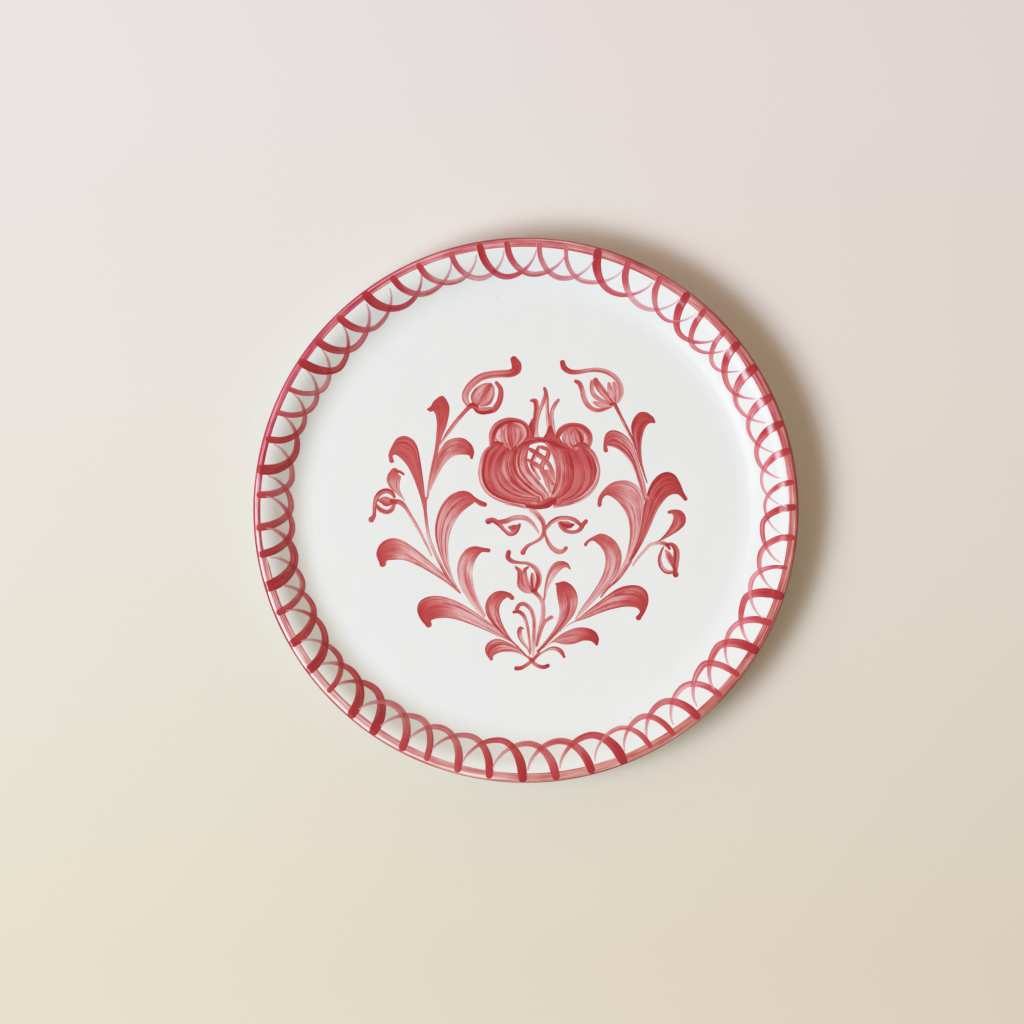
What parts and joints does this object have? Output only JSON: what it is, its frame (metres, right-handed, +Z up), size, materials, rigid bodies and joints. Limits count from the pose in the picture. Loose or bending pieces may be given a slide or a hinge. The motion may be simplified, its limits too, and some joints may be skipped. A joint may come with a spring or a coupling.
{
  "type": "ceramic plate",
  "caption": "Round hand-painted earthenware plate with a flat well, a sloping wall, a rounded lip, a foot ring and a red painted pomegranate spray under a looped border.",
  "frame": {"origin": "middle of the foot ring's lower edge, on the surface that the plate stands on", "axes": "+Z up out of the plate's face, +Y to the top of the painted spray, +X to its right"},
  "size_m": [0.272, 0.272, 0.0221],
  "materials": {
    "bare_clay": "unglazed fired earthenware, seen on the foot ring's edge",
    "tin_glaze": "glossy opaque white tin glaze with soft waves and a few specks",
    "band_paint": "glossy pink-red paint fused into the glaze, with lines left by the turning wheel",
    "loop_paint": "glossy red brush paint fused into the glaze, dark where the brush was loaded",
    "brush_paint": "glossy red brush paint fused into the glaze, streaked along each stroke"
  },
  "bodies": {
    "root": {"clay_body": "bare_clay", "tin_glaze": "tin_glaze", "lip_band": "band_paint", "looped_border": "loop_paint", "pomegranate_fruit": "brush_paint", "pomegranate_window": "brush_paint", "pomegranate_left_lobe": "brush_paint", "pomegranate_right_lobe": "brush_paint", "pomegranate_crown": "brush_paint", "pomegranate_base": "brush_paint", "scroll_left": "brush_paint", "scroll_right": "brush_paint", "bud_top_left": "brush_paint", "bud_top_right": "brush_paint", "bud_side_left": "brush_paint", "bud_side_right": "brush_paint", "low_tulip": "brush_paint", "leaves_left_low": "brush_paint", "leaves_left_middle": "brush_paint", "leaves_left_high": "brush_paint", "leaves_right_low": "brush_paint", "leaves_right_middle": "brush_paint", "leaves_right_high": "brush_paint", "base_spray": "brush_paint", "knot_tails": "brush_paint"}
  },
  "joints": []
}
